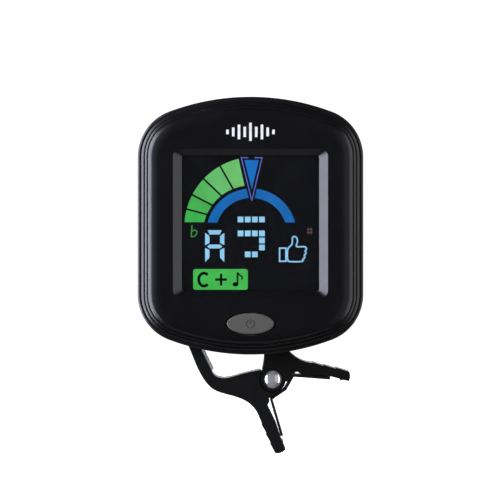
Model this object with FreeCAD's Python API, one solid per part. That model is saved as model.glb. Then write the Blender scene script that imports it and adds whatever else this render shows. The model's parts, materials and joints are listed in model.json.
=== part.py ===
import FreeCAD, Part
import math
import os

# Clip-on tuner: a flat oval-cornered display head on a tilting, swivelling turret, carried by a
# sprung two-arm clamp. Millimetres. Shapes are laid out about the middle of the head's front face
# (X right, Y back, Z up) and saved about the point where the two grip pads meet.

V = FreeCAD.Vector
BACK = V(0, 1, 0)

# --- driving dimensions: head outline ---
HALF_W = 24.15            # half width of the head
HALF_H = 27.6             # half height of the head
CORNER_R = 10.4           # outline corner radius
CORNER_X = HALF_W - CORNER_R
CORNER_Z = 14.7           # height of the corner centres
RISE = HALF_H - CORNER_Z
END_R = (CORNER_X ** 2 + RISE ** 2 - CORNER_R ** 2) / (2 * (RISE - CORNER_R))

# --- driving dimensions: head depth, front face at Y = 0 ---
Y_STEP1 = 2.0             # first shoulder step
Y_STEP2 = 3.6             # second shoulder step
Y_SEAM = 5.4              # bezel meets rear cover
Y_BOARD = 5.6             # front of the circuit board
BOARD_T = 1.0
Y_WALL_IN = 10.4          # inside of the rear wall
Y_HEAD = 12.0             # back of the head
IN_SHOULDER = 2.34        # outline offsets of the three front steps
IN_RIB2 = 1.68
IN_RIB1 = 0.85
ROLL_WIDE = 1.95          # slope between the face and its shoulder
ROLL_DROP = 0.5
IN_CAVITY = 3.3
IN_TONGUE = 1.55
IN_COVER = 1.5

# --- window, button, mark ---
WIN_CZ = 0.45
WIN_HX = 16.45            # outer edge of the window recess
WIN_HZ = 15.75
LIP_CZ = 0.5
LIP_HX = 14.6             # clear opening
LIP_HZ = 14.5
LIP_Y = 1.0
LENS_Y = 1.3
BTN_Z = -20.86
BTN_A = 5.05              # button half axes
BTN_B = 2.25
BTN_GAP = 0.28
MARK_Z = 19.86
MARK_BARS = (1.0, 1.9, 3.1, 2.2, 3.9, 2.2, 3.1, 1.9, 1.0)
MARK_PITCH = 1.22
MARK_BAR_W = 0.56

# --- battery, a CR2032 cell ---
CELL_R = 10.0
CELL_T = 3.2
CELL_Z = 9.5
CELL_Y = 7.2
DOOR_HX = 11.85
DOOR_Z0 = -1.5
RAIL_HX = 12.65

# --- swivel turret and tilt pin ---
SW_Z = -11.0              # height of the swivel axis
SPIGOT_R = 2.5
DISC_R = 6.0
Y_DISC = 12.15
Y_DISC_BACK = 14.0
PIN_Y = 17.5
PIN_R = 1.1
LUG_R = 2.6
LUG_HX = 2.4

# --- clamp ---
CL_Y0 = 12.5              # front and back faces of the clamp
CL_Y1 = 22.5
PIV_X = 4.78              # hinge axis of the two arms
PIV_Z = -33.17
MOUTH = math.radians(140.5)   # direction in which the mouth points
HUB_R = 2.6               # ears of the fixed arm
HUB_CUT = 2.85            # clearance turned into the other arm round a hub
MID_R = 2.9              # the moving arm's middle knuckle and its clearance
MID_CUT = 3.05
EAR_T = 2.1               # thickness of the outer ears
RIVET_R = 1.2
DOME_R = 1.95
STRIP_T = 0.6             # leaf spring thickness
PAD_U = 25.9              # where the pads grip, measured from the hinge
RUN = 0.05                # radial running clearance

GRIP = V(PIV_X + PAD_U * math.cos(MOUTH), (CL_Y0 + CL_Y1) / 2, PIV_Z + PAD_U * math.sin(MOUTH))

os.makedirs("parts", exist_ok=True)


def save(node, shape):
    """Write one node, moved so that the grip point is the origin."""
    out = shape.copy()
    out.translate(GRIP * -1)
    out.exportStep("parts/" + node + ".step")


def fuse(shapes):
    """All the shapes joined, with seams between flush faces taken out."""
    return shapes[0].multiFuse(list(shapes[1:])).removeSplitter()


def group(shapes):
    """Separate solids kept together in one node."""
    return Part.makeCompound(list(shapes))


def box(x0, x1, y0, y1, z0, z1):
    """A block between two corners."""
    return Part.makeBox(x1 - x0, y1 - y0, z1 - z0, V(x0, y0, z0))


def cyl(x, z, r, y0, y1):
    """A round bar along Y."""
    return Part.makeCylinder(r, y1 - y0, V(x, y0, z), BACK)


def slab(wire, depth):
    """A flat closed outline pushed back along Y."""
    return Part.Face(wire).extrude(V(0, depth, 0))


def front_edges(shape, y):
    """Edges that lie wholly in the plane at depth y."""
    return [e for e in shape.Edges if abs(e.BoundBox.YMin - y) < 1e-4 and abs(e.BoundBox.YMax - y) < 1e-4]


def head_wire(inset, y):
    """The head's outline moved inwards: two end arcs, four corners and two straight sides."""
    end_r = END_R - inset
    r = CORNER_R - inset
    zc = HALF_H - END_R
    lean = math.atan2(CORNER_Z - zc, CORNER_X)
    tx, tz = end_r * math.cos(lean), zc + end_r * math.sin(lean)
    mid = lean / 2
    mx, mz = CORNER_X + r * math.cos(mid), CORNER_Z + r * math.sin(mid)
    sx = HALF_W - inset
    top = zc + end_r

    def p(x, z):
        return V(x, y, z)

    edges = [
        Part.Arc(p(-tx, tz), p(0, top), p(tx, tz)).toShape(),
        Part.Arc(p(tx, tz), p(mx, mz), p(sx, CORNER_Z)).toShape(),
        Part.makeLine(p(sx, CORNER_Z), p(sx, -CORNER_Z)),
        Part.Arc(p(sx, -CORNER_Z), p(mx, -mz), p(tx, -tz)).toShape(),
        Part.Arc(p(tx, -tz), p(0, -top), p(-tx, -tz)).toShape(),
        Part.Arc(p(-tx, -tz), p(-mx, -mz), p(-sx, -CORNER_Z)).toShape(),
        Part.makeLine(p(-sx, -CORNER_Z), p(-sx, CORNER_Z)),
        Part.Arc(p(-sx, CORNER_Z), p(-mx, mz), p(-tx, tz)).toShape(),
    ]
    return Part.Wire(edges)


def head_slab(inset, y0, y1, round_front=0.0, round_back=0.0):
    """A slice of the head between two depths, with rounded front or back rim."""
    s = slab(head_wire(inset, y0), y1 - y0)
    if round_front:
        s = s.makeFillet(round_front, front_edges(s, y0))
    if round_back:
        s = s.makeFillet(round_back, front_edges(s, y1))
    return s


def head_ring(outer, inner, y0, y1):
    """A band that follows the head's outline."""
    return slab(head_wire(outer, y0), y1 - y0).cut(slab(head_wire(inner, y0), y1 - y0))


def round_rect(cz, hx, hz, r, y):
    """A rounded rectangle centred on X = 0."""
    q = r * (1 - math.sqrt(0.5))
    x0, x1, z0, z1 = -hx, hx, cz - hz, cz + hz

    def p(x, z):
        return V(x, y, z)

    edges = [
        Part.makeLine(p(x0 + r, z1), p(x1 - r, z1)),
        Part.Arc(p(x1 - r, z1), p(x1 - q, z1 - q), p(x1, z1 - r)).toShape(),
        Part.makeLine(p(x1, z1 - r), p(x1, z0 + r)),
        Part.Arc(p(x1, z0 + r), p(x1 - q, z0 + q), p(x1 - r, z0)).toShape(),
        Part.makeLine(p(x1 - r, z0), p(x0 + r, z0)),
        Part.Arc(p(x0 + r, z0), p(x0 + q, z0 + q), p(x0, z0 + r)).toShape(),
        Part.makeLine(p(x0, z0 + r), p(x0, z1 - r)),
        Part.Arc(p(x0, z1 - r), p(x0 + q, z1 - q), p(x0 + r, z1)).toShape(),
    ]
    return Part.Wire(edges)


def oval(a, b, y0, y1):
    """An elliptical bar along Y at the button's place."""
    e = Part.Ellipse(V(a, y0, BTN_Z), V(0, y0, BTN_Z + b), V(0, y0, BTN_Z))
    return slab(Part.Wire([e.toShape()]), y1 - y0)


# ---------------------------------------------------------------- front bezel
CASE_SCREWS = [(15.5, 19.9), (-15.5, 19.9), (15.5, -19.0), (-15.5, -19.0)]
BOARD_SCREWS = [(19.1, 0.0), (-19.1, 0.0)]

# the face rolls away in a wide shallow slope, softened where it leaves the face and at its outer edge
shoulder = head_slab(IN_SHOULDER, 0.0, Y_STEP1 + 0.4)
shoulder = shoulder.makeChamfer(ROLL_DROP, ROLL_WIDE, front_edges(shoulder, 0.0))
shoulder = shoulder.makeFillet(1.1, front_edges(shoulder, ROLL_DROP))
shoulder = shoulder.makeFillet(6.0, front_edges(shoulder, 0.0))
bezel = fuse([
    shoulder,
    head_slab(IN_RIB2, Y_STEP1, Y_STEP2 + 0.4, 0.55),
    head_slab(IN_RIB1, Y_STEP2, Y_SEAM, 0.7),
    head_slab(IN_TONGUE, Y_SEAM - 0.3, 6.4),
])
bezel = bezel.cut(head_ring(IN_SHOULDER - 0.12, IN_SHOULDER, Y_STEP1 - 0.1, Y_STEP1 + 0.3))
bezel = bezel.cut(head_ring(IN_RIB2 - 0.12, IN_RIB2, Y_STEP2 - 0.1, Y_STEP2 + 0.3))
cavity = head_slab(IN_CAVITY, 1.5, Y_BOARD)
board_seat = head_slab(2.5, Y_BOARD, 6.5)
bezel = bezel.cut(cavity).cut(board_seat)
posts = [cyl(x, z, 1.7, 1.3, 6.9) for x, z in CASE_SCREWS]
posts += [cyl(x, z, 1.3, 1.3, Y_BOARD) for x, z in BOARD_SCREWS]
bezel = fuse([bezel] + [p.common(head_slab(IN_TONGUE, 1.3, 6.9)) for p in posts])
for x, z in CASE_SCREWS:
    bezel = bezel.cut(cyl(x, z, 0.85, 3.0, 7.0))
for x, z in BOARD_SCREWS:
    bezel = bezel.cut(cyl(x, z, 0.65, 2.6, 6.0))
mouth = round_rect(WIN_CZ, WIN_HX, WIN_HZ, 1.5, 0.0)
lip = round_rect(LIP_CZ, LIP_HX, LIP_HZ, 0.7, LIP_Y)
bezel = bezel.cut(Part.makeLoft([mouth, lip], True))
bezel = bezel.cut(slab(round_rect(LIP_CZ, LIP_HX, LIP_HZ, 0.7, LIP_Y - 0.01), 1.0))
bezel = bezel.cut(slab(round_rect(LIP_CZ, 15.9, 15.8, 1.0, LENS_Y), 0.5))
bezel = bezel.cut(oval(BTN_A + BTN_GAP, BTN_B + BTN_GAP, -0.1, 2.0))
bars = []
for i, tall in enumerate(MARK_BARS):
    x = (i - (len(MARK_BARS) - 1) / 2) * MARK_PITCH
    half = MARK_BAR_W / 2
    bars.append(box(x - half, x + half, 0.0, 0.1, MARK_Z - tall / 2, MARK_Z + tall / 2))
for bar in bars:
    bezel = bezel.cut(bar)
save("front_bezel", bezel)
save("face_mark", group(bars))

# ---------------------------------------------------------------- rear cover
cover = head_slab(0.0, Y_SEAM, Y_HEAD, 0.5, 1.3)
cover = cover.cut(head_slab(IN_COVER, Y_SEAM - 0.1, Y_WALL_IN))
well = box(-13.4, 13.4, 6.95, Y_WALL_IN + 0.1, -3.0, 22.4)
cover = fuse([cover, well])
screw_posts = [cyl(x, z, 2.2, 7.0, Y_WALL_IN + 0.1) for x, z in CASE_SCREWS]
cover = fuse([cover] + [p.common(head_slab(IN_COVER, 7.0, Y_WALL_IN + 0.1)) for p in screw_posts])
cover = fuse([cover, cyl(0, SW_Z, 4.6, 9.9, Y_WALL_IN + 0.1)])
cover = cover.cut(cyl(0, CELL_Z, CELL_R + 0.25, 6.9, Y_HEAD))
for half, y0, y1 in ((DOOR_HX, Y_WALL_IN + 0.1, 13.0), (RAIL_HX, 11.0, 11.5)):
    cover = cover.cut(box(-half - 0.15, half + 0.15, y0, y1, DOOR_Z0 - 0.15, 29.0))
cover = cover.cut(box(9.8, 11.3, 6.9, 10.1, CELL_Z - 2.3, CELL_Z + 2.3))
cover = cover.cut(cyl(0, SW_Z, SPIGOT_R + 0.08, 9.0, 13.0))
for x, z in CASE_SCREWS:
    cover = cover.cut(cyl(x, z, 0.85, 6.0, 13.0)).cut(cyl(x, z, 1.6, Y_HEAD - 1.3, 13.0))
save("rear_cover", cover)

# ---------------------------------------------------------------- battery door
door = box(-DOOR_HX, DOOR_HX, Y_WALL_IN + 0.2, Y_HEAD, DOOR_Z0, 29.0)
door = fuse([door, box(-RAIL_HX, RAIL_HX, 11.1, 11.4, DOOR_Z0, 24.0)])
door = door.common(head_slab(0.0, Y_SEAM, Y_HEAD, 0.0, 1.3))
for i in range(5):
    z = 17.0 + i * 1.1
    door = door.cut(box(-5.0, 5.0, Y_HEAD - 0.35, 13.0, z - 0.25, z + 0.25))
save("battery_door", door)

# ---------------------------------------------------------------- screws
case_screws = []
for x, z in CASE_SCREWS:
    screw = fuse([cyl(x, z, 0.8, 3.4, Y_HEAD - 0.5), cyl(x, z, 1.5, Y_HEAD - 1.3, Y_HEAD - 0.3)])
    screw = screw.cut(box(x - 0.9, x + 0.9, Y_HEAD - 0.75, 13.0, z - 0.16, z + 0.16))
    screw = screw.cut(box(x - 0.16, x + 0.16, Y_HEAD - 0.75, 13.0, z - 0.9, z + 0.9))
    case_screws.append(screw)
save("case_screws", group(case_screws))
board_screws = []
for x, z in BOARD_SCREWS:
    board_screws.append(fuse([cyl(x, z, 0.6, 3.0, 6.8), cyl(x, z, 1.2, 6.6, 7.3)]))
save("board_screws", group(board_screws))

# ---------------------------------------------------------------- window and display stack
save("window_lens", slab(round_rect(LIP_CZ, 15.8, 15.7, 0.9, LENS_Y), 0.8))
save("front_polariser", box(-15.5, 15.5, 2.3, 2.5, -14.7, 15.7))
lcd = fuse([box(-15.9, 15.9, 2.5, 3.2, -15.0, 17.4), box(-15.9, 15.9, 3.2, 3.9, -15.0, 16.0)])
save("lcd_glass", lcd)
save("rear_polariser", box(-15.5, 15.5, 3.9, 4.1, -14.7, 15.7))
save("backlight_guide", box(-15.9, 15.9, 4.15, 5.15, -15.0, 16.0))
save("backlight_reflector", box(-15.9, 15.9, 5.2, 5.35, -15.0, 16.0))
save("zebra_strip", box(-13.0, 13.0, 3.2, Y_BOARD, 16.3, 17.2))
leds = [box(x - 1.5, x + 1.5, 4.3, Y_BOARD, -16.1, -15.1) for x in (-9.0, 0.0, 9.0)]
save("backlight_leds", group(leds))
holder = box(-17.4, 17.4, 2.15, Y_BOARD, -17.0, 18.0)
for x in (-15.5, 15.5):
    holder = holder.cut(cyl(x, 19.9, 1.85, 2.0, Y_BOARD + 0.1))
holder = holder.cut(box(-16.0, 16.0, 2.1, 5.7, -15.05, 17.5))
for x in (-9.0, 0.0, 9.0):
    holder = holder.cut(box(x - 1.6, x + 1.6, 4.1, 5.7, -16.3, -15.0))
save("display_holder", holder)

# ---------------------------------------------------------------- circuit board and what is on it
board = head_slab(2.7, Y_BOARD, Y_BOARD + BOARD_T)
for x, z in CASE_SCREWS:
    board = board.cut(cyl(x, z, 2.0, 5.0, 7.0))
for x, z in BOARD_SCREWS:
    board = board.cut(cyl(x, z, 0.7, 5.0, 7.0))
save("circuit_board", board)
Y_TOP = Y_BOARD + BOARD_T
chip = [box(-16.5, -9.5, Y_TOP + 0.15, Y_TOP + 1.15, -9.2, -4.2 + 0.6)]
for i in range(8):
    x = -16.0 + i * 0.86
    chip.append(box(x, x + 0.35, Y_TOP, Y_TOP + 0.5, -10.0, -9.1))
    chip.append(box(x, x + 0.35, Y_TOP, Y_TOP + 0.5, -3.7, -3.25))
save("controller_chip", fuse(chip))
crystal = box(8.0, 13.0, Y_TOP, Y_TOP + 1.1, -9.6, -6.4)
crystal = crystal.makeFillet(0.4, [e for e in crystal.Edges if e.BoundBox.YLength > 1.0])
save("quartz_crystal", crystal)
CAPS = ((7.5, -12.5), (10.0, -12.5), (12.5, -12.5), (7.5, -14.5), (10.0, -14.5))
caps = [box(x, x + 1.6, Y_TOP, Y_TOP + 0.8, z, z + 0.8) for x, z in CAPS]
save("board_capacitors", group(caps))
switch = box(-3.0, 3.0, 4.0, Y_BOARD, BTN_Z - 1.75, BTN_Z + 1.75)
switch = switch.cut(cyl(0, BTN_Z, 0.95, 3.5, 5.0))
save("tact_switch", switch)
save("switch_plunger", cyl(0, BTN_Z, 0.87, 3.3, 4.5))
key_top = oval(BTN_A, BTN_B, 0.02, 1.8)
key_top = key_top.makeFillet(0.3, front_edges(key_top, 0.02))
button = fuse([
    key_top,
    oval(BTN_A + 0.6, BTN_B + 0.55, 1.6, 2.2),
    cyl(0, BTN_Z, 1.0, 2.1, 3.3),
])
ring = cyl(0, BTN_Z - 0.05, 0.95, -0.1, 0.12).cut(cyl(0, BTN_Z - 0.05, 0.75, -0.2, 0.3))
ring = ring.cut(box(-0.3, 0.3, -0.2, 0.3, BTN_Z, BTN_Z + 1.2))
button = button.cut(ring).cut(box(-0.1, 0.1, -0.1, 0.12, BTN_Z, BTN_Z + 1.05))
save("power_button", button)

# ---------------------------------------------------------------- vibration pickup
PZ_X, PZ_Z = -13.5, -11.0
save("pickup_disc", cyl(PZ_X, PZ_Z, 6.0, Y_WALL_IN - 0.2, Y_WALL_IN))
save("pickup_ceramic", cyl(PZ_X, PZ_Z, 4.1, Y_WALL_IN - 0.4, Y_WALL_IN - 0.2))


def lead(x, z0, y0, z1):
    """A soldered wire: out from the disc, along Z, and down to the board."""
    r, bend, run_y = 0.22, 0.7, 8.4
    q = bend * (1 - math.sqrt(0.5))
    path = Part.Wire([
        Part.makeLine(V(x, y0, z0), V(x, run_y + bend, z0)),
        Part.Arc(V(x, run_y + bend, z0), V(x, run_y + q, z0 - q), V(x, run_y, z0 - bend)).toShape(),
        Part.makeLine(V(x, run_y, z0 - bend), V(x, run_y, z1 + bend)),
        Part.Arc(V(x, run_y, z1 + bend), V(x, run_y - q, z1 + q), V(x, run_y - bend, z1)).toShape(),
        Part.makeLine(V(x, run_y - bend, z1), V(x, Y_TOP, z1)),
    ])
    ring = Part.Wire([Part.makeCircle(r, V(x, y0, z0), BACK)])
    return path.makePipeShell([ring], True, False)


leads = [lead(-12.6, -11.6, Y_WALL_IN - 0.4, -18.2), lead(-18.4, -11.6, Y_WALL_IN - 0.2, -16.8)]
save("pickup_leads", group(leads))

# ---------------------------------------------------------------- cell and contacts
lid = cyl(0, CELL_Z, 8.8, CELL_Y, CELL_Y + 0.5)
cell = fuse([lid, cyl(0, CELL_Z, CELL_R, CELL_Y + 0.35, CELL_Y + CELL_T)])
cell = cell.makeFillet(0.25, front_edges(cell, CELL_Y + CELL_T))
save("coin_cell", cell)
neg = [
    box(-5.0, -2.2, Y_TOP, Y_TOP + 0.2, CELL_Z - 1.5, CELL_Z + 1.5),
    box(2.2, 5.0, Y_TOP, Y_TOP + 0.2, CELL_Z - 1.5, CELL_Z + 1.5),
    box(-2.6, 2.6, Y_TOP + 0.4, Y_TOP + 0.6, CELL_Z - 1.5, CELL_Z + 1.5),
    box(-2.6, -2.2, Y_TOP, Y_TOP + 0.6, CELL_Z - 1.5, CELL_Z + 1.5),
    box(2.2, 2.6, Y_TOP, Y_TOP + 0.6, CELL_Z - 1.5, CELL_Z + 1.5),
]
save("cell_contact_negative", fuse(neg))
pos = fuse([
    box(10.02, 10.27, Y_TOP, 9.8, CELL_Z - 2.0, CELL_Z + 2.0),
    box(10.02, 12.6, Y_TOP, Y_TOP + 0.25, CELL_Z - 2.0, CELL_Z + 2.0),
])
save("cell_contact_positive", pos)

# ---------------------------------------------------------------- swivel turret
turret = cyl(0, SW_Z, DISC_R, Y_DISC, Y_DISC_BACK)
turret = turret.makeFillet(0.5, front_edges(turret, Y_DISC_BACK))
ears = []
for side in (-1, 1):
    x0 = min(side * 2.6, side * 4.6)
    ears.append(box(x0, x0 + 2.0, Y_DISC_BACK - 0.3, PIN_Y, SW_Z - LUG_R, SW_Z + LUG_R))
    ears.append(Part.makeCylinder(LUG_R, 2.0, V(x0, PIN_Y, SW_Z), V(1, 0, 0)))
turret = fuse([turret, cyl(0, SW_Z, SPIGOT_R, 9.7, Y_DISC + 0.1)] + ears)
turret = turret.cut(Part.makeCylinder(PIN_R, 12.0, V(-6, PIN_Y, SW_Z), V(1, 0, 0)))
turret = turret.cut(cyl(0, SW_Z, 0.85, 9.0, 13.6))
save("swivel_turret", turret)
save("swivel_washer", cyl(0, SW_Z, 4.2, 9.3, 9.7).cut(cyl(0, SW_Z, 0.9, 9.0, 10.0)))
swivel_screw = fuse([cyl(0, SW_Z, 0.8, 9.2, 13.2), cyl(0, SW_Z, 1.8, 8.3, 9.3)])
swivel_screw = swivel_screw.cut(box(-1.1, 1.1, 8.0, 8.7, SW_Z - 0.18, SW_Z + 0.18))
swivel_screw = swivel_screw.cut(box(-0.18, 0.18, 8.0, 8.7, SW_Z - 1.1, SW_Z + 1.1))
save("swivel_screw", swivel_screw)
tilt_pin = Part.makeCylinder(PIN_R, 9.6, V(-4.8, PIN_Y, SW_Z), V(1, 0, 0))
tilt_pin = tilt_pin.makeChamfer(0.2, [e for e in tilt_pin.Edges if e.BoundBox.XLength < 0.01])
save("tilt_pin", tilt_pin)


# ---------------------------------------------------------------- clamp arms
def uv(u, v, y=CL_Y0):
    """A point in the clamp's own axes: u from the hinge out through the mouth, v across it."""
    c, s = math.cos(MOUTH), math.sin(MOUTH)
    return V(PIV_X + u * c - v * s, y, PIV_Z + u * s + v * c)


# outlines of the two arms, each given for v > 0; the fixed arm is the mirror image of its own
JAW_BACK = [
    (27.2, 3.55), (24.2, 3.95), (21.0, 4.95), (17.54, 6.57), (13.65, 8.62), (10.76, 9.63), (8.92, 9.83),
]
JAW_LINE = [(10.99, 7.11), (15.54, 5.08), (22.20, 2.11), (23.80, 1.30), (27.70, 1.30)]
MOVING = {
    "back": JAW_BACK + [(6.93, 9.36), (4.71, 8.36), (2.37, 7.47), (0.58, 7.18), (-1.30, 7.42), (-2.93, 8.14)],
    "steps": (1.5, 3.8, 6.1),
    "heel": [(-10.60, 11.92), (-11.48, 11.00), (-11.80, 9.87)],
    "inner": [(-11.80, 9.87), (-10.45, 9.15), (-10.25, 8.75), (-9.95, 8.95), (-6.60, 6.86)],
    "notch": [(-2.66, 5.03), (-2.52, 4.06), (-1.96, 3.60), (-2.55, 1.66), (0.0, 0.15)],
    "throat": [(3.45, 0.15), (4.71, 1.75), (6.31, 3.91), (7.91, 6.09), (9.18, 7.00), (10.99, 7.11)],
}
FIXED = {
    "back": JAW_BACK + [(6.93, 9.30), (4.71, 8.25), (2.37, 7.30), (0.52, 6.95), (-1.20, 7.00), (-3.30, 7.65)],
    "steps": (1.1, 3.6, 6.3),
    "heel": [(-11.75, 11.85), (-12.55, 11.15), (-12.95, 10.20)],
    "inner": [(-12.95, 10.20), (-11.75, 9.55), (-11.50, 9.10), (-11.15, 9.35), (-9.50, 8.60), (-4.05, 4.80)],
    "notch": [(-3.15, 4.70), (-2.84, 4.40), (-2.80, 3.95), (-2.46, 3.66), (-2.79, 1.66), (0.0, 0.15)],
    "throat": [(3.10, 0.15), (3.65, 1.15), (4.27, 2.2), (5.6, 3.95), (7.4, 6.15), (9.18, 7.05), (10.99, 7.11)],
}
STEP_H = 0.2


def step_points(start, end, places):
    """A handle's outer face, with shallow saw-tooth grip steps."""
    dx, dz = end[0] - start[0], end[1] - start[1]
    run = math.hypot(dx, dz)
    dx, dz = dx / run, dz / run
    out = [start]
    for s in places:
        out.append((start[0] + dx * s, start[1] + dz * s))
        out.append((start[0] + dx * (s + 0.15) + dz * STEP_H, start[1] + dz * (s + 0.15) - dx * STEP_H))
    return out + [end]


def arm_body(arm, flip):
    """One arm's solid between the clamp's front and back faces; flip is 1 or -1."""
    def p(point):
        return uv(point[0], flip * point[1])

    def lines(points):
        return [Part.makeLine(p(a), p(b)) for a, b in zip(points, points[1:])]

    def smooth(points):
        curve = Part.BSplineCurve()
        curve.interpolate([p(q) for q in points])
        return curve.toShape()

    def arc(points):
        return Part.Arc(*[p(q) for q in points]).toShape()

    edges = [smooth(arm["back"])]
    edges += lines(step_points(arm["back"][-1], arm["heel"][0], arm["steps"]))
    edges.append(arc(arm["heel"]))
    edges += lines(arm["inner"] + arm["notch"] + [arm["throat"][0]])
    edges.append(smooth(arm["throat"]))
    edges += lines(JAW_LINE)
    edges.append(arc([JAW_LINE[-1], (28.45, 2.45), JAW_BACK[0]]))
    return slab(Part.Wire(edges), CL_Y1 - CL_Y0)


def soften(shape, r):
    """Round the rims of the arm's two flat sides."""
    rims = front_edges(shape, CL_Y0) + front_edges(shape, CL_Y1)
    return shape.makeFillet(r, rims)


def hub(r, y0, y1):
    """A round boss on the hinge axis."""
    return cyl(PIV_X, PIV_Z, r, y0, y1)


MID0, MID1 = CL_Y0 + EAR_T + 0.2, CL_Y1 - EAR_T - 0.2

moving = soften(arm_body(MOVING, 1), 0.12)
moving = moving.cut(hub(HUB_CUT, CL_Y0 - 1, MID0)).cut(hub(HUB_CUT, MID1, CL_Y1 + 1))
moving = fuse([moving, hub(MID_R, MID0, MID1)])
moving = moving.cut(hub(RIVET_R + RUN, 0, 40))
save("clamp_arm_moving", moving)

fixed = soften(arm_body(FIXED, -1), 0.12)
fixed = fixed.cut(hub(MID_CUT, CL_Y0 + EAR_T, CL_Y1 - EAR_T))
fixed = fuse([fixed, hub(HUB_R, CL_Y0, CL_Y0 + EAR_T), hub(HUB_R, CL_Y1 - EAR_T, CL_Y1)])
neck = box(-LUG_HX, LUG_HX, PIN_Y - 2.5, PIN_Y + 2.5, SW_Z - 8.2, SW_Z)
corners = [(-4.4, -18.2), (-2.4, -14.8), (2.4, -14.8), (3.4, -19.6), (-4.4, -18.2)]
foot = slab(Part.makePolygon([V(x, 15.0, z) for x, z in corners]), 5.0)
lug = Part.makeCylinder(LUG_R, 2 * LUG_HX, V(-LUG_HX, PIN_Y, SW_Z), V(1, 0, 0))
fixed = fuse([fixed, neck, foot, lug])
fixed = fixed.cut(Part.makeCylinder(PIN_R + RUN, 12.0, V(-6, PIN_Y, SW_Z), V(1, 0, 0)))
fixed = fixed.cut(hub(RIVET_R, 0, 40))
fixed = fixed.cut(hub(2.15, CL_Y0 - 1, CL_Y0 + 0.8)).cut(hub(2.15, CL_Y1 - 0.8, CL_Y1 + 1))
save("clamp_arm_fixed", fixed)

# ---------------------------------------------------------------- pads, rivet, leaf spring
PAD = [
    (11.40, 6.927), (15.54, 5.08), (22.20, 2.11), (23.80, 1.30), (27.60, 1.30), (27.90, 0.60), (27.40, 0.12),
    (26.90, 0.12), (26.65, 0.40), (26.40, 0.12), (25.60, 0.12), (25.35, 0.40), (25.10, 0.12), (24.30, 0.12),
    (21.60, 1.885), (11.30, 6.47),
]
for name, flip in (("grip_pad_moving", 1), ("grip_pad_fixed", -1)):
    loop = [uv(u, flip * v, CL_Y0 + 0.3) for u, v in PAD]
    save(name, slab(Part.makePolygon(loop + [loop[0]]), CL_Y1 - CL_Y0 - 0.6))


def dome(y_base, y_top):
    """A shallow domed rivet head between its flat base and its crown."""
    rise = abs(y_top - y_base)
    ball = (DOME_R ** 2 + rise ** 2) / (2 * rise)
    centre = y_top + (ball if y_top < y_base else -ball)
    lo, hi = min(y_base, y_top), max(y_base, y_top)
    return Part.makeSphere(ball, V(PIV_X, centre, PIV_Z)).common(hub(DOME_R + 0.001, lo, hi))


heads = [dome(CL_Y0 + 0.6, CL_Y0 - 0.05), dome(CL_Y1 - 0.6, CL_Y1 + 0.05)]
rivet = fuse([hub(RIVET_R, CL_Y0 + 0.5, CL_Y1 - 0.5)] + heads)
save("pivot_rivet", rivet)

SPRING = [(-9.34, 8.13), (-2.41, 3.43), (-3.47, -0.15), (-2.89, -3.48), (-9.44, -8.10)]


def strip(points, bend, t):
    """A bent flat strip of thickness t whose middle line runs through the points."""
    sides = []
    for s in (t / 2, -t / 2):
        edges = []
        last = None
        for i, (u, v) in enumerate(points):
            d = []
            for a, b in ((i - 1, i), (i, i + 1)):
                if a < 0 or b >= len(points):
                    continue
                du, dv = points[b][0] - points[a][0], points[b][1] - points[a][1]
                n = math.hypot(du, dv)
                d.append((du / n, dv / n))
            if len(d) == 1:
                here = (u - d[0][1] * s, v + d[0][0] * s)
                if last is not None:
                    edges.append(Part.makeLine(uv(*last), uv(*here)))
                last = here
                continue
            (a0, a1), (b0, b1) = d
            turn = math.atan2(a0 * b1 - a1 * b0, a0 * b0 + a1 * b1)
            if abs(turn) < 1e-6:
                continue
            sign = 1 if turn > 0 else -1
            r = bend - s * sign
            back = bend * math.tan(abs(turn) / 2)
            start = (u - a0 * back - a1 * s, v - a1 * back + a0 * s)
            end = (u + b0 * back - b1 * s, v + b1 * back + b0 * s)
            cu, cv = u - a0 * back - a1 * bend * sign, v - a1 * back + a0 * bend * sign
            away = math.hypot(u - cu, v - cv)
            mid = (cu + (u - cu) / away * r, cv + (v - cv) / away * r)
            edges.append(Part.makeLine(uv(*last), uv(*start)))
            edges.append(Part.Arc(uv(*start), uv(*mid), uv(*end)).toShape())
            last = end
        sides.append(edges)
    one, two = sides
    caps = [
        Part.makeLine(one[0].firstVertex().Point, two[0].firstVertex().Point),
        Part.makeLine(one[-1].lastVertex().Point, two[-1].lastVertex().Point),
    ]
    return Part.Wire(Part.__sortEdges__(one + two + caps))


leaf = slab(strip(SPRING, 0.42, STRIP_T), CL_Y1 - CL_Y0 - 0.8)
leaf.translate(V(0, 0.4, 0))
save("leaf_spring", leaf)
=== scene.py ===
import json
import math

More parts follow.
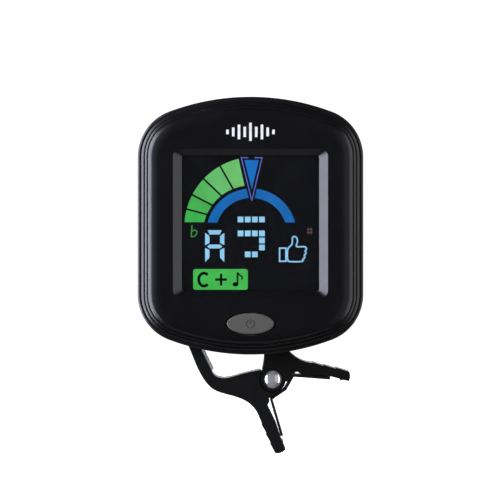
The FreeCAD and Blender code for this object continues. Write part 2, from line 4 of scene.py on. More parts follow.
import bmesh
import bpy
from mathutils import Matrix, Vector


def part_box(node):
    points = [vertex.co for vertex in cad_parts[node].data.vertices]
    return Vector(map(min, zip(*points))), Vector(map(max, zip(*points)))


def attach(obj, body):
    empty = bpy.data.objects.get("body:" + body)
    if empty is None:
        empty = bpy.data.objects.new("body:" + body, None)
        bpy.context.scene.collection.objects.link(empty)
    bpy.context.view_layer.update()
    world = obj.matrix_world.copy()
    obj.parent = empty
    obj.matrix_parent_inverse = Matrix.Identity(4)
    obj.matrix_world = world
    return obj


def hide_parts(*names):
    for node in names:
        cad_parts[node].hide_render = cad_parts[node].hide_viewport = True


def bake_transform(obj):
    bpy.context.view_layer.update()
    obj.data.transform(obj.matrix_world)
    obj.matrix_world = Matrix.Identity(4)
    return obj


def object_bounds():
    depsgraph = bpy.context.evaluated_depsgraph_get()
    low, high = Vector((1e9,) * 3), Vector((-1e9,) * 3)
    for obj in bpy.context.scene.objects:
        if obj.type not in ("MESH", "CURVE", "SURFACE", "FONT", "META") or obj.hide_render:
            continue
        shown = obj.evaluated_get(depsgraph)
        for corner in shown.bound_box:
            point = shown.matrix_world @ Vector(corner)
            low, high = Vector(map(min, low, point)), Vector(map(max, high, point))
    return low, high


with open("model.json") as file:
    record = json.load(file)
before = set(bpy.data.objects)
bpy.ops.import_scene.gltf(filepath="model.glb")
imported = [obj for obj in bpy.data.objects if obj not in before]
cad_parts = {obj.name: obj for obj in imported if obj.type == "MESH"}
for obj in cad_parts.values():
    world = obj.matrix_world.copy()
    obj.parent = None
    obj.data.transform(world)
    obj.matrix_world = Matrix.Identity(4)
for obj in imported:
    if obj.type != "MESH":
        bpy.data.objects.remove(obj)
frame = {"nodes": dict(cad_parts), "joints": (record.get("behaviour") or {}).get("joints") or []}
NODES = frame["nodes"]
CAD_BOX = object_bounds()

MM = 0.001
cover_lo, cover_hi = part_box("rear_cover")
bezel_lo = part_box("front_bezel")[0]
film_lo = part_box("front_polariser")[0]
HEAD_X = (cover_lo.x + cover_hi.x) / 2
HEAD_Z = (cover_lo.z + cover_hi.z) / 2
FACE_Y = bezel_lo.y


def at(x, y, z):
    """A point given in millimetres from the middle of the head's front face."""
    return Vector((HEAD_X + x * MM, FACE_Y + y * MM, HEAD_Z + z * MM))


# ------------------------------------------------------------------ materials
# sockets of a Mix node that are used when it mixes colours
MIX_FACTOR, MIX_A, MIX_B, MIX_RESULT = 0, 6, 7, 2


class Mat:
    """A node material with short calls for the pieces used again and again."""

    def __init__(self, name):
        self.mat = bpy.data.materials.new(name)
        self.mat.use_nodes = True
        self.tree = self.mat.node_tree
        self.bsdf = self.tree.nodes["Principled BSDF"]
        self.place = self.tree.nodes.new("ShaderNodeTexCoord").outputs["Object"]

    def fill(self, node, values):
        """Set a node's inputs, and link those that are given another node's output."""
        for key, value in values.items():
            if isinstance(value, bpy.types.NodeSocket):
                self.tree.links.new(value, node.inputs[key])
            else:
                node.inputs[key].default_value = value

    def node(self, kind, values, **settings):
        """A new node with its settings and inputs."""
        n = self.tree.nodes.new(kind)
        for key, value in settings.items():
            setattr(n, key, value)
        self.fill(n, values)
        return n

    def shader(self, **values):
        """Fill the shader's own inputs. An underscore stands for a space in a name."""
        self.fill(self.bsdf, {key.replace("_", " "): value for key, value in values.items()})

    def stretch(self, scale):
        """Places on the object, scaled along each axis."""
        n = self.node("ShaderNodeMapping", {"Scale": scale, "Vector": self.place})
        return n.outputs["Vector"]

    def noise(self, size_mm, detail=2, vector=None):
        """Soft noise whose patches are about this size."""
        n = self.node("ShaderNodeTexNoise", {
            "Scale": 1000 / size_mm, "Detail": detail, "Vector": vector or self.place,
        })
        return n.outputs["Fac"]

    def spread(self, fac, low, high, start=0.3, stop=0.7):
        """Noise between start and stop, spread over the range from low to high."""
        n = self.node("ShaderNodeMapRange", {
            "From Min": start, "From Max": stop, "To Min": low, "To Max": high, "Value": fac,
        })
        return n.outputs["Result"]

    def mix(self, fac, a, b):
        """A colour between two, each of them fixed or another node's output."""
        a, b = [(*c, 1) if isinstance(c, (tuple, list)) else c for c in (a, b)]
        n = self.node("ShaderNodeMix", {MIX_FACTOR: fac, MIX_A: a, MIX_B: b}, data_type="RGBA")
        return n.outputs[MIX_RESULT]

    def bump(self, height, strength, depth_mm):
        """Fine relief that is this deep."""
        n = self.node("ShaderNodeBump", {"Strength": strength, "Distance": depth_mm * MM, "Height": height})
        self.shader(Normal=n.outputs["Normal"])


def linear(rgb):
    """An sRGB colour, 0 to 255, as linear light."""
    out = []
    for c in rgb:
        c = c / 255
        out.append(c / 12.92 if c <= 0.04045 else ((c + 0.055) / 1.055) ** 2.4)
    return out


def scaled(colour, factor):
    """A colour made darker or lighter."""
    return [c * factor for c in colour]


def moulded(name, colour, rough, grain_mm=0.14, depth_mm=0.004, vary=0.25, gloss=0.5, **more):
    """Moulded plastic: fine spark-eroded grain, faint patches of sheen and shade."""
    m = Mat(name)
    patches = m.spread(m.noise(7, 3), 0, 1)
    m.shader(
        Base_Color=m.mix(patches, scaled(colour, 1 - vary), scaled(colour, 1 + vary)),
        Roughness=m.spread(m.noise(2.6, 4), rough - 0.015, rough + 0.015),
        Specular_IOR_Level=gloss,
        **more,
    )
    m.bump(m.noise(grain_mm), 0.35, depth_mm)
    return m.mat


def metal(name, colour, rough, along=(1, 1, 1), vary=0.12, depth_mm=0.0015, metallic=1.0):
    """Metal with fine lines drawn out along one direction."""
    m = Mat(name)
    lines = m.noise(0.25, 3, m.stretch(along))
    m.shader(
        Base_Color=m.mix(m.spread(lines, 0, 1), scaled(colour, 1 - vary), colour),
        Roughness=m.spread(lines, rough * 0.75, rough * 1.3),
        Metallic=metallic,
    )
    m.bump(lines, 0.3, depth_mm)
    return m.mat


def clear(name, tint, ior, rough):
    """Clear window plastic with a trace of surface haze."""
    m = Mat(name)
    m.shader(
        Base_Color=m.mix(m.spread(m.noise(9), 0, 1), scaled(tint, 0.985), tint),
        Roughness=m.spread(m.noise(1.2, 4), rough * 0.5, rough * 1.5),
        IOR=ior,
        Transmission_Weight=1.0,
    )
    return m.mat


def glow(name, rgb):
    """A lit display segment: a fine weave of cells with a slow fade across them."""
    m = Mat(name)
    colour = linear(rgb)
    cell_mm = 0.16
    fade = m.spread(m.noise(3.2, 1), 0, 1, 0.35, 0.65)
    cells = m.node(
        "ShaderNodeTexVoronoi",
        {"Scale": 1000 / cell_mm, "Randomness": 0, "Vector": m.place},
        feature="F1", distance="CHEBYCHEV",
    )
    seams = m.spread(cells.outputs["Distance"], 0, 0.12, 0.38, 0.5)
    m.shader(
        Emission_Color=m.mix(seams, m.mix(fade, scaled(colour, 0.88), colour), scaled(colour, 0.6)),
        Emission_Strength=1.0,
        Base_Color=(0.004, 0.004, 0.004, 1),
        Roughness=0.5,
        Specular_IOR_Level=0.1,
    )
    return m.mat


def board_green():
    """Solder resist over copper traces, with a fine weave."""
    m = Mat("board_resist")
    upright = m.node("ShaderNodeMapping", {"Rotation": (math.radians(90), 0, 0), "Vector": m.place})
    traces = m.node("ShaderNodeTexBrick", {
        "Scale": 240,
        "Mortar Size": 0.06,
        "Color1": (0.008, 0.11, 0.04, 1),
        "Color2": (0.012, 0.14, 0.05, 1),
        "Mortar": (0.02, 0.2, 0.08, 1),
        "Vector": upright.outputs["Vector"],
    })
    m.shader(Base_Color=traces.outputs["Color"], Roughness=m.spread(m.noise(1.5, 3), 0.25, 0.4))
    m.bump(m.noise(0.3), 0.3, 0.01)
    return m.mat


def rubbery(name, colour):
    """Soft rubber with a dusty bloom."""
    m = Mat(name)
    dust = [min(1, c * 1.25 + 0.01) for c in colour]
    m.shader(
        Base_Color=m.mix(m.spread(m.noise(1.1, 5), 0, 1), colour, dust),
        Roughness=m.spread(m.noise(0.6, 3), 0.67, 0.83),
        Specular_IOR_Level=0.3,
    )
    m.bump(m.noise(0.1, 3), 0.5, 0.01)
    return m.mat


BLACK = (0.0030, 0.0030, 0.0042)
M = {
    "bezel": moulded("bezel_satin_black", BLACK, 0.33, 0.13, 0.003, gloss=0.42),
    "cover": moulded("cover_satin_black", BLACK, 0.38, 0.15, 0.004, gloss=0.5),
    "clamp": moulded("clamp_black", (0.0028, 0.0030, 0.0029), 0.42, 0.16, 0.006, gloss=0.35),
    "button": moulded("button_grey", (0.108, 0.108, 0.09), 0.5, 0.12, 0.004, vary=0.04, gloss=0.35),
    "white": moulded("moulded_white", (0.7, 0.7, 0.69), 0.5, vary=0.04),
    "chip": moulded("chip_epoxy", (0.012, 0.012, 0.012), 0.55, 0.08, 0.008),
    "print": moulded("printed_white", (0.97, 0.97, 0.94), 0.55, 0.1, 0.003, vary=0.02, gloss=0.3),
    "mark": moulded("symbol_grey", (0.055, 0.056, 0.05), 0.6, 0.1, 0.003, vary=0.05, gloss=0.2),
    "lcd": moulded("display_black", (0.003, 0.0033, 0.0038), 0.16, 0.3, 0.0, gloss=0.2),
    "film": moulded(
        "display_film", (0.004, 0.0042, 0.005), 0.2, 0.3, 0.0, gloss=0.2,
        Emission_Color=(0.55, 0.58, 0.8, 1), Emission_Strength=0.0055,
    ),
    "diffuser": moulded("diffuser_white", (0.8, 0.82, 0.85), 0.45, vary=0.03),
    "reflector": moulded("reflector_film", (0.85, 0.85, 0.86), 0.3, vary=0.02),
    "led": moulded("led_phosphor", (0.85, 0.75, 0.3), 0.35, vary=0.08),
    "plunger": moulded("plunger_red", (0.4, 0.02, 0.02), 0.4),
    "lead": moulded("lead_insulation", (0.45, 0.015, 0.015), 0.4, vary=0.1),
    "ceramic": moulded("capacitor_ceramic", (0.42, 0.28, 0.15), 0.5, vary=0.1),
    "silvering": metal("pickup_silvering", (0.75, 0.74, 0.7), 0.38),
    "chrome": metal("rivet_chrome", (0.86, 0.86, 0.88), 0.13, vary=0.03, depth_mm=0.0006, metallic=0.6),
    "spring": metal("spring_steel", (0.1, 0.1, 0.105), 0.3, (1, 0.03, 1)),
    "steel": metal("bright_steel", (0.6, 0.6, 0.61), 0.28),
    "dark_steel": metal("blackened_steel", (0.05, 0.05, 0.052), 0.38),
    "brass": metal("rolled_brass", (0.72, 0.52, 0.22), 0.3, (0.06, 1, 1)),
    "pad": rubbery("pad_rubber", (0.6, 0.6, 0.6)),
    "zebra": rubbery("contact_rubber", (0.16, 0.16, 0.18)),
    "lens": clear("window_clear", (0.97, 0.975, 0.98), 1.2, 0.015),
    "board": board_green(),
}
WORN_BY = {
    "bezel": ["front_bezel"],
    "cover": ["rear_cover", "battery_door"],
    "print": ["face_mark"],
    "lens": ["window_lens"],
    "film": ["front_polariser"],
    "lcd": ["lcd_glass", "rear_polariser"],
    "diffuser": ["backlight_guide"],
    "reflector": ["backlight_reflector"],
    "led": ["backlight_leds"],
    "white": ["display_holder"],
    "zebra": ["zebra_strip"],
    "board": ["circuit_board"],
    "chip": ["controller_chip", "tact_switch"],
    "ceramic": ["board_capacitors"],
    "plunger": ["switch_plunger"],
    "button": ["power_button"],
    "brass": ["pickup_disc", "cell_contact_negative", "cell_contact_positive"],
    "silvering": ["pickup_ceramic"],
    "lead": ["pickup_leads"],
    "steel": ["quartz_crystal", "board_screws", "coin_cell", "swivel_washer", "swivel_screw", "tilt_pin"],
    "dark_steel": ["case_screws"],
    "clamp": ["swivel_turret", "clamp_arm_moving", "clamp_arm_fixed"],
    "pad": ["grip_pad_moving", "grip_pad_fixed"],
    "chrome": ["pivot_rivet"],
    "spring": ["leaf_spring"],
}
for look, wearers in WORN_BY.items():
    for node in wearers:
        slots = NODES[node].data.materials
        slots.clear()
        slots.append(M[look])


# ------------------------------------------------------------------ shapes in the display plane
def unit(a, b):
    """The direction from one flat point to another, with length one."""
    d = math.hypot(b[0] - a[0], b[1] - a[1])
    return (b[0] - a[0]) / d, (b[1] - a[1]) / d


def arc(centre, rx, rz, degrees):
    """Points on a circle or an ellipse."""
    turns = [math.radians(a) for a in degrees]
    return [(centre[0] + rx * math.cos(a), centre[1] + rz * math.sin(a)) for a in turns]


def clip(poly, point, normal):
    """The part of a flat outline on the side that the normal points to."""
    out = []
    n = len(poly)
    for i in range(n):
        a, b = poly[i], poly[(i + 1) % n]
        da = (a[0] - point[0]) * normal[0] + (a[1] - point[1]) * normal[1]
        db = (b[0] - point[0]) * normal[0] + (b[1] - point[1]) * normal[1]
        if da >= 0:
            out.append(a)
        if (da >= 0) != (db >= 0):
            t = da / (da - db)
            out.append((a[0] + (b[0] - a[0]) * t, a[1] + (b[1] - a[1]) * t))
    return out


def stroke(points, width, closed=False):
    """A line of even width along points, as quads that share mitred corners."""
    n = len(points)
    left, right = [], []
    for i in range(n):
        ways = []
        if i > 0 or closed:
            ways.append(unit(points[i - 1], points[i]))
        if i < n - 1 or closed:
            ways.append(unit(points[i], points[(i + 1) % n]))
        tx, tz = sum(w[0] for w in ways), sum(w[1] for w in ways)
        size = math.hypot(tx, tz) or 1
        nx, nz = -tz / size, tx / size
        cosine = abs(nx * -ways[0][1] + nz * ways[0][0])
        reach = width / 2 / max(cosine, 0.5)
        x, z = points[i]
        left.append((x + nx * reach, z + nz * reach))
        right.append((x - nx * reach, z - nz * reach))
    quads = []
    for i in range(n if closed else n - 1):
        j = (i + 1) % n
        quads.append([left[i], left[j], right[j], right[i]])
    return quads


def smooth(points, closed=False, steps=6):
    """Catmull-Rom points through the given ones."""
    n = len(points)
    out = []
    for i in range(n if closed else n - 1):
        around = range(i - 1, i + 3)
        near = [points[k % n] if closed else points[min(max(k, 0), n - 1)] for k in around]
        for s in range(steps):
            t = s / steps
            mixed = []
            for a, b, c, d in zip(*near):
                curve = 2 * b + (c - a) * t + (2 * a - 5 * b + 4 * c - d) * t ** 2
                mixed.append((curve + (3 * b - a - 3 * c + d) * t ** 3) / 2)
            out.append(tuple(mixed))
    if not closed:
        out.append(points[-1])
    return out


def plates(name, polys, y0, y1, mat, body="head"):
    """Flat shapes in the display plane, given a small thickness."""
    mesh = bpy.data.meshes.new(name)
    bm = bmesh.new()
    for poly in polys:
        rear = [bm.verts.new(at(x, y1, z)) for x, z in poly]
        front = [bm.verts.new(at(x, y0, z)) for x, z in poly]
        n = len(poly)
        bm.faces.new(front)
        bm.faces.new(list(reversed(rear)))
        for i in range(n):
            bm.faces.new((front[i], rear[i], rear[(i + 1) % n], front[(i + 1) % n]))
    bmesh.ops.recalc_face_normals(bm, faces=bm.faces)
    bmesh.ops.triangulate(bm, faces=[f for f in bm.faces if len(f.verts) > 4])
    bm.to_mesh(mesh)
    bm.free()
    obj = bpy.data.objects.new(name, mesh)
    bpy.context.scene.collection.objects.link(obj)
    mesh.materials.append(mat)
    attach(obj, body)


# glowing shapes stand just off the film, and the label's dark signs just off the label
ART_GAP, ART_THICK = 0.02, 0.05
SIGN_GAP, SIGN_THICK = 0.01, 0.04
ART_REAR = (film_lo.y - FACE_Y) / MM - ART_GAP
ART_FRONT = ART_REAR - ART_THICK
SIGN_REAR = ART_FRONT - SIGN_GAP
SIGN_FRONT = SIGN_REAR - SIGN_THICK


def lit(name, polys, look, rgb):
    """Glowing shapes just in front of the display's film."""
    plates(name, polys, ART_FRONT, ART_REAR, glow(look, rgb))


# ------------------------------------------------------------------ display and the button's sign
# the needle's outer corners: top left, top right and tip
NEEDLE = ((-2.12, 14.58), (2.63, 14.58), (0.28, 5.07))

# blue arc, cut off level at its feet and parted by the needle
ARC_C, ARC_OUT, ARC_IN, ARC_FOOT = (0.17, -1.72), 9.59, 7.60, 0.66
ARC_START, ARC_STEP, ARC_POINTS = -2, 1.55, 61
ARC_TO_NEEDLE = 0.42


def needle_side(side):
    """A point and outward normal where one side of the arc ends beside the needle."""
    top, tip = NEEDLE[0 if side < 0 else 1], NEEDLE[2]
    dx, dz = unit(top, tip)
    n = (-dz * side, dx * side)
    return (tip[0] + n[0] * ARC_TO_NEEDLE, tip[1] + n[1] * ARC_TO_NEEDLE), n


arcs = []
for side in (-1, 1):
    degrees = [90 - side * (ARC_START + i * ARC_STEP) for i in range(ARC_POINTS)]
    ring = arc(ARC_C, ARC_OUT, ARC_OUT, degrees) + arc(ARC_C, ARC_IN, ARC_IN, reversed(degrees))
    ring = clip(ring, (0, ARC_FOOT), (0, 1))
    arcs.append(clip(ring, *needle_side(side)))
lit("display_blue_arc", arcs, "lit_blue", (20, 107, 186))

# five green segments left of the needle, parted along rays of the fan
FAN_C, FAN_OUT, FAN_IN, FAN_FOOT = (0.89, -0.36), 14.96, 10.3, 0.72
FAN_CUTS = (182.0, 165.0, 152.5, 136.5, 119.4, 102.5)
FAN_GREENS = ((62, 182, 80), (74, 184, 86), (90, 190, 97), (106, 197, 112), (113, 200, 112))
FAN_HALF_GAP = 0.19
FAN_STEPS = 16


def fan_inner(degrees):
    """Where a ray from the fan's centre meets the circle round the blue arc."""
    a = math.radians(degrees)
    dx, dz = math.cos(a), math.sin(a)
    ox, oz = FAN_C[0] - ARC_C[0], FAN_C[1] - ARC_C[1]
    b = ox * dx + oz * dz
    t = -b + math.sqrt(b * b - (ox * ox + oz * oz - FAN_IN ** 2))
    return FAN_C[0] + dx * t, FAN_C[1] + dz * t


for k, green in enumerate(FAN_GREENS):
    first, last = FAN_CUTS[k], FAN_CUTS[k + 1]
    degrees = [first + (last - first) * i / FAN_STEPS for i in range(FAN_STEPS + 1)]
    segment = arc(FAN_C, FAN_OUT, FAN_OUT, degrees) + [fan_inner(a) for a in reversed(degrees)]
    for cut, sign in ((first, 1), (last, -1)):
        a = math.radians(cut)
        n = (math.sin(a) * sign, -math.cos(a) * sign)
        segment = clip(segment, (FAN_C[0] + n[0] * FAN_HALF_GAP, FAN_C[1] + n[1] * FAN_HALF_GAP), n)
    segment = clip(segment, (0, FAN_FOOT), (0, 1))
    lit("display_green_segment_%d" % (k + 1), [segment], "lit_green_%d" % (k + 1), green)

# needle: a filled blade in a broken outline
NEEDLE_X, OUTLINE_TOP, NEEDLE_LINE = 0.28, 14.45, 0.24
outline = []
for shoulder, corner in ((-0.45, -1.96), (0.85, 2.47)):
    outline += stroke([(shoulder, OUTLINE_TOP), (corner, OUTLINE_TOP), (NEEDLE_X, 5.3)], NEEDLE_LINE)
lit("display_needle_outline", outline, "lit_violet", (88, 104, 192))
lit("display_needle_blade", [[(-1.29, 13.94), (1.76, 13.94), (NEEDLE_X, 7.6)]], "lit_blade", (24, 112, 198))

# segmented capital letter
LEFT, RIGHT, TOP, MID, FOOT = -9.65, -5.56, -0.98, -4.45, -7.77
BAR = 0.92
MID_HALF = 0.42
letter = [
    [(LEFT + 0.55, TOP), (RIGHT - 0.55, TOP), (RIGHT - 0.95, TOP - BAR), (LEFT + 0.95, TOP - BAR)],
    [
        (LEFT + MID_HALF, MID), (LEFT + 0.95, MID + MID_HALF), (RIGHT - 0.95, MID + MID_HALF),
        (RIGHT - MID_HALF, MID), (RIGHT - 0.95, MID - MID_HALF), (LEFT + 0.95, MID - MID_HALF),
    ],
]
for x, inner_x in ((LEFT, LEFT + BAR), (RIGHT, RIGHT - BAR)):
    letter.append([(x, TOP - 0.55), (inner_x, TOP - BAR - 0.35), (inner_x, MID + 0.75), (x, MID + 0.3)])
    letter.append([(x, MID - 0.3), (inner_x, MID - 0.75), (inner_x, FOOT + 0.95), (x, FOOT)])
lit("display_note_letter", letter, "lit_pale_blue", (150, 214, 252))

# dot-matrix figure: each row's height and the columns that are lit in it
COLUMNS = (-2.12, -0.59, 0.93, 2.44)
ROWS = ((1.30, (0, 1, 2, 3)), (-1.66, (0, 1, 2, 3)), (-3.18, (3,)), (-4.67, (3,)), (-6.13, (1, 2)))
DOT_HALF = 0.6
dots = []
for z, on in ROWS:
    for column in on:
        x0, x1 = COLUMNS[column] - DOT_HALF, COLUMNS[column] + DOT_HALF
        dots.append([(x0, z - DOT_HALF), (x1, z - DOT_HALF), (x1, z + DOT_HALF), (x0, z + DOT_HALF)])
lit("display_dot_matrix", dots, "lit_dots", (152, 216, 250))

# raised-thumb sign: a cuff and a simple hand, drawn as one line each
THUMB_LINE = 0.31
cuff = [(6.2, -4.8), (7.55, -4.8), (7.55, -7.6), (6.2, -7.6)]
hand = smooth([
    (7.95, -5.0), (8.85, -3.95), (8.95, -2.55), (9.65, -2.4), (10.02, -3.3), (9.8, -4.45), (11.5, -4.5),
    (11.92, -5.0), (11.62, -5.42), (11.85, -5.9), (11.45, -6.3), (11.6, -6.8), (11.15, -7.1), (11.05, -7.6),
    (8.9, -7.68), (7.95, -7.35),
], closed=True, steps=4)
thumb = stroke(cuff, THUMB_LINE, True) + stroke(hand, THUMB_LINE, True)
lit("display_thumb_sign", thumb, "lit_thumb", (150, 210, 248))

# power sign: dark ink in the groove of the button
button_lo, button_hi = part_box("power_button")
BUTTON_Z = ((button_lo.z + button_hi.z) / 2 - HEAD_Z) / MM
INK_FRONT, INK_REAR = 0.09, 0.119
INK_LINE, INK_RING = 0.18, 0.85
power = stroke(arc((0, BUTTON_Z - 0.05), INK_RING, INK_RING, range(66, -247, -12)), INK_LINE)
power += stroke([(0, BUTTON_Z + 0.05), (0, BUTTON_Z + 1.03)], INK_LINE)
plates("power_sign", power, INK_FRONT, INK_REAR, M["mark"], "button")

# flat and sharp signs
SIGN_LINE, SHARP_LINE = 0.25, 0.14
flat_stem = [(-12.45, 0.1), (-12.62, -2.4)]
flat_bowl = smooth([
    (-12.55, -1.35), (-11.95, -0.98), (-11.42, -1.25), (-11.5, -1.85), (-12.05, -2.3), (-12.62, -2.4),
], steps=5)
flat = stroke(flat_stem, SIGN_LINE) + stroke(flat_bowl, SIGN_LINE)
lit("display_flat_sign", flat, "lit_sign_green", (62, 150, 66))
sharp = []
for x in (12.3, 12.9):
    sharp += stroke([(x, -0.34), (x, -1.93)], SHARP_LINE)
for z in (-0.85, -1.45):
    sharp += stroke([(11.95, z - 0.06), (13.25, z + 0.06)], SHARP_LINE)
lit("display_sharp_sign", sharp, "lit_sign_dim", (104, 84, 84))

# lit label with round corners
LABEL_ROUND = 0.5
LABEL_CORNERS = ((-11.7, -9.75, 180), (-1.07, -9.75, 90), (-1.07, -13.17, 0), (-11.7, -13.17, -90))
label = []
for x, z, start in LABEL_CORNERS:
    label += arc((x, z), LABEL_ROUND, LABEL_ROUND, range(start, start - 91, -15))
lit("display_label", [label], "lit_label", (70, 190, 84))

# dark signs on the label: a capital letter, a plus sign and a quaver
LABEL_MID = -11.5
STEM_X, STEM_TOP, STEM_FOOT = -2.75, -9.95, -12.5
signs = stroke(arc((-9.9, LABEL_MID), 1.12, 1.38, range(45, 316, 15)), 0.6)
signs += stroke([(-7.5, LABEL_MID), (-5.0, LABEL_MID)], 0.5)
signs += stroke([(-6.25, LABEL_MID + 1.25), (-6.25, LABEL_MID - 1.25)], 0.5)
signs += stroke([(STEM_X, STEM_TOP), (STEM_X, STEM_FOOT)], 0.36)
signs += stroke(smooth([(STEM_X, STEM_TOP), (-2.35, -10.5), (-1.8, -10.9), (-1.85, -11.5)], steps=4), 0.3)
signs.append(arc((-3.2, STEM_FOOT), 0.62, 0.46, range(0, 360, 20)))
plates("display_label_signs", signs, SIGN_FRONT, SIGN_REAR, M["lcd"])

# ------------------------------------------------------------------ leaf spring, a bent strip
PIVOT = next(j for j in frame["joints"] if j["name"] == "jaw_open")["pos_m"]
MOUTH = math.radians(140.5)
SPRING = [(-9.34, 8.13), (-2.41, 3.43), (-3.47, -0.15), (-2.89, -3.48), (-9.44, -8.10)]
SPRING_HALF, SPRING_RIM = 0.3, 0.1
SPRING_BEND, BEND_STEPS = 0.42, 8
SPRING_STEP = 0.35
SPRING_SHARP = math.radians(40)
spring_lo, spring_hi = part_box("leaf_spring")


def uv(u, v, y):
    """A point in millimetres along and across the line from the rivet to the jaws' mouth."""
    c, s = math.cos(MOUTH), math.sin(MOUTH)
    return Vector((PIVOT[0] + (u * c - v * s) * MM, y, PIVOT[2] + (u * s + v * c) * MM))


def rounded(a, p, b):
    """The bend that replaces the corner p between a and b."""
    a, p, b = Vector(a), Vector(p), Vector(b)
    before, after = (p - a).normalized(), (b - p).normalized()
    turn = math.atan2(before.x * after.y - before.y * after.x, before.dot(after))
    start = p - before * SPRING_BEND * math.tan(abs(turn) / 2)
    centre = start + Vector((-before.y, before.x)) * math.copysign(SPRING_BEND, turn)
    r = start - centre
    out = []
    for k in range(BEND_STEPS + 1):
        c, s = math.cos(turn * k / BEND_STEPS), math.sin(turn * k / BEND_STEPS)
        out.append(tuple(centre + Vector((r.x * c - r.y * s, r.x * s + r.y * c))))
    return out


def strip_path():
    """The spring's middle line in short steps, with its bends rounded."""
    path = [SPRING[0]]
    for a, p, b in zip(SPRING, SPRING[1:], SPRING[2:]):
        path += rounded(a, p, b)
    path.append(SPRING[-1])
    fine = [path[0]]
    for a, b in zip(path, path[1:]):
        n = max(1, int(math.hypot(b[0] - a[0], b[1] - a[1]) / SPRING_STEP))
        for k in range(1, n + 1):
            fine.append((a[0] + (b[0] - a[0]) * k / n, a[1] + (b[1] - a[1]) * k / n))
    return fine


def add_smooth(name, bm, mat):
    """An object made of a finished mesh, shaded smooth."""
    mesh = bpy.data.meshes.new(name)
    bm.to_mesh(mesh)
    bm.free()
    for p in mesh.polygons:
        p.use_smooth = True
    mesh.materials.append(mat)
    obj = bpy.data.objects.new(name, mesh)
    bpy.context.scene.collection.objects.link(obj)
    return obj


def leaf_spring():
    """A bent flat strip with rounded rims."""
    path = strip_path()
    y0, y1 = spring_lo.y, spring_hi.y
    half, rim = SPRING_HALF, SPRING_RIM
    section = [
        (half - rim, y0), (half, y0 + rim * MM), (half, y1 - rim * MM), (half - rim, y1),
        (-half + rim, y1), (-half, y1 - rim * MM), (-half, y0 + rim * MM), (-half + rim, y0),
    ]
    n = len(section)
    bm = bmesh.new()
    rings = []
    for i, (u, v) in enumerate(path):
        du, dv = unit(path[max(i - 1, 0)], path[min(i + 1, len(path) - 1)])
        rings.append([bm.verts.new(uv(u - dv * s, v + du * s, y)) for s, y in section])
    for r0, r1 in zip(rings, rings[1:]):
        for k in range(n):
            bm.faces.new((r0[k], r0[(k + 1) % n], r1[(k + 1) % n], r1[k]))
    bm.faces.new(rings[0])
    bm.faces.new(list(reversed(rings[-1])))
    bmesh.ops.recalc_face_normals(bm, faces=bm.faces)
    obj = add_smooth("leaf_spring_strip", bm, M["spring"])
    obj.data.set_sharp_from_angle(angle=SPRING_SHARP)
    return obj


spring = leaf_spring()
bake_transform(spring)
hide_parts("leaf_spring")


# ------------------------------------------------------------------ studio
FLOOR_GAP = 0.0005
FLOOR_FLAT, FLOOR_CURVE, WALL_TOP = 1.0, 0.5, 1.5
FLOOR_SIDES, CURVE_STEPS = 72, 12


def sweep():
    """A pale floor that curves up into a wall all the way round."""
    floor_z = CAD_BOX[0].z - FLOOR_GAP
    wall = FLOOR_FLAT + FLOOR_CURVE
    profile = [(0.3, 0), (0.7, 0), (FLOOR_FLAT, 0)]
    for i in range(1, CURVE_STEPS + 1):
        a = math.radians(90 * i / CURVE_STEPS)
        profile.append((FLOOR_FLAT + FLOOR_CURVE * math.sin(a), FLOOR_CURVE * (1 - math.cos(a))))
    profile += [(wall, 0.9), (wall, WALL_TOP)]
    bm = bmesh.new()
    loops = []
    for r, z in profile:
        circle = arc((HEAD_X, 0), r, r, [360 * i / FLOOR_SIDES for i in range(FLOOR_SIDES)])
        loops.append([bm.verts.new((x, y, floor_z + z)) for x, y in circle])
    middle = bm.verts.new((HEAD_X, 0, floor_z))
    for i in range(FLOOR_SIDES):
        j = (i + 1) % FLOOR_SIDES
        bm.faces.new((middle, loops[0][i], loops[0][j]))
        for a, b in zip(loops, loops[1:]):
            bm.faces.new((a[i], b[i], b[j], a[j]))
    m = Mat("studio_pale")
    m.shader(
        Base_Color=m.mix(m.spread(m.noise(90), 0, 1), (0.72, 0.72, 0.72), (0.76, 0.76, 0.76)),
        Emission_Color=(1, 1, 1, 1),
        Emission_Strength=1.0,
        Roughness=0.9,
        Specular_IOR_Level=0.0,
    )
    obj = add_smooth("studio_sweep", bm, m.mat)
    obj.visible_glossy = False
    obj.visible_diffuse = False
    obj.visible_transmission = False


LIGHT_AIM = at(0, 6, -8)


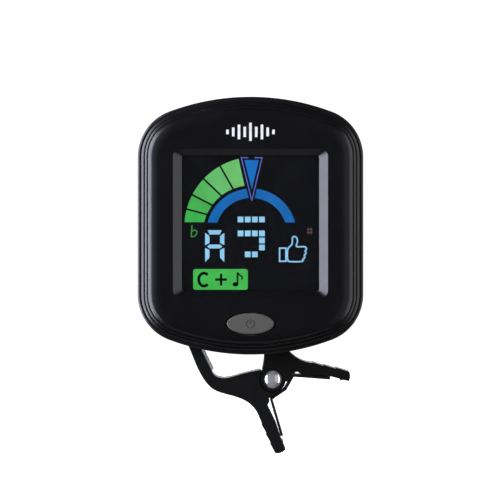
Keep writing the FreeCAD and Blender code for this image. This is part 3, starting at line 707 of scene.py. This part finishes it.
def softbox(name, place, size, watts, colour=(1, 1, 1)):
    """An area light that faces the tuner."""
    data = bpy.data.lights.new(name, "AREA")
    data.shape = "RECTANGLE"
    data.size, data.size_y = size
    data.energy = watts
    data.color = colour
    obj = bpy.data.objects.new(name, data)
    bpy.context.scene.collection.objects.link(obj)
    obj.location = at(*place)
    aim = LIGHT_AIM - obj.location
    obj.rotation_mode = "QUATERNION"
    obj.rotation_quaternion = aim.to_track_quat("-Z", "Y")
    obj.visible_camera = False


sweep()
softbox("key_left", (-450, -290, 20), (0.24, 0.7), 6.9, (0.81, 0.83, 1.0))
softbox("side_left", (-480, 90, 10), (0.5, 0.7), 8.5, (0.88, 0.89, 1.0))
softbox("fill_right", (450, -290, 0), (0.2, 0.6), 1.05, (0.98, 0.96, 1.0))
softbox("front_right", (250, -430, 0), (0.18, 0.5), 0.16, (0.98, 0.96, 1.0))
softbox("side_right", (480, 60, 0), (0.4, 0.7), 1.5, (0.97, 0.97, 1.0))
softbox("low_bounce", (0, -60, -460), (0.5, 0.25), 0.16)
softbox("back_wide", (0, 520, 0), (0.4, 0.4), 0.9)

AIR_LIGHT = 0.06
scene = bpy.context.scene
world = bpy.data.worlds.new("studio_air")
scene.world = world
world.use_nodes = True
air = world.node_tree.nodes["Background"].inputs
air["Color"].default_value = (1, 1, 1, 1)
air["Strength"].default_value = AIR_LIGHT

# ------------------------------------------------------------------ camera, square on to the head
DISTANCE = 0.70
SENSOR_MM = 36
WIDTH_IN_VIEW = 0.1061
VIEW_CENTRE = at(-0.1, 0, -5.2)
cam_data = bpy.data.cameras.new("camera")
cam_data.sensor_width = SENSOR_MM
cam_data.lens = SENSOR_MM * DISTANCE / WIDTH_IN_VIEW
cam = bpy.data.objects.new("camera", cam_data)
scene.collection.objects.link(cam)
cam.location = VIEW_CENTRE - Vector((0, DISTANCE, 0))
cam.rotation_euler = (math.radians(90), 0, 0)
scene.camera = cam
scene.view_settings.view_transform = "Standard"
scene.view_settings.look = "None"
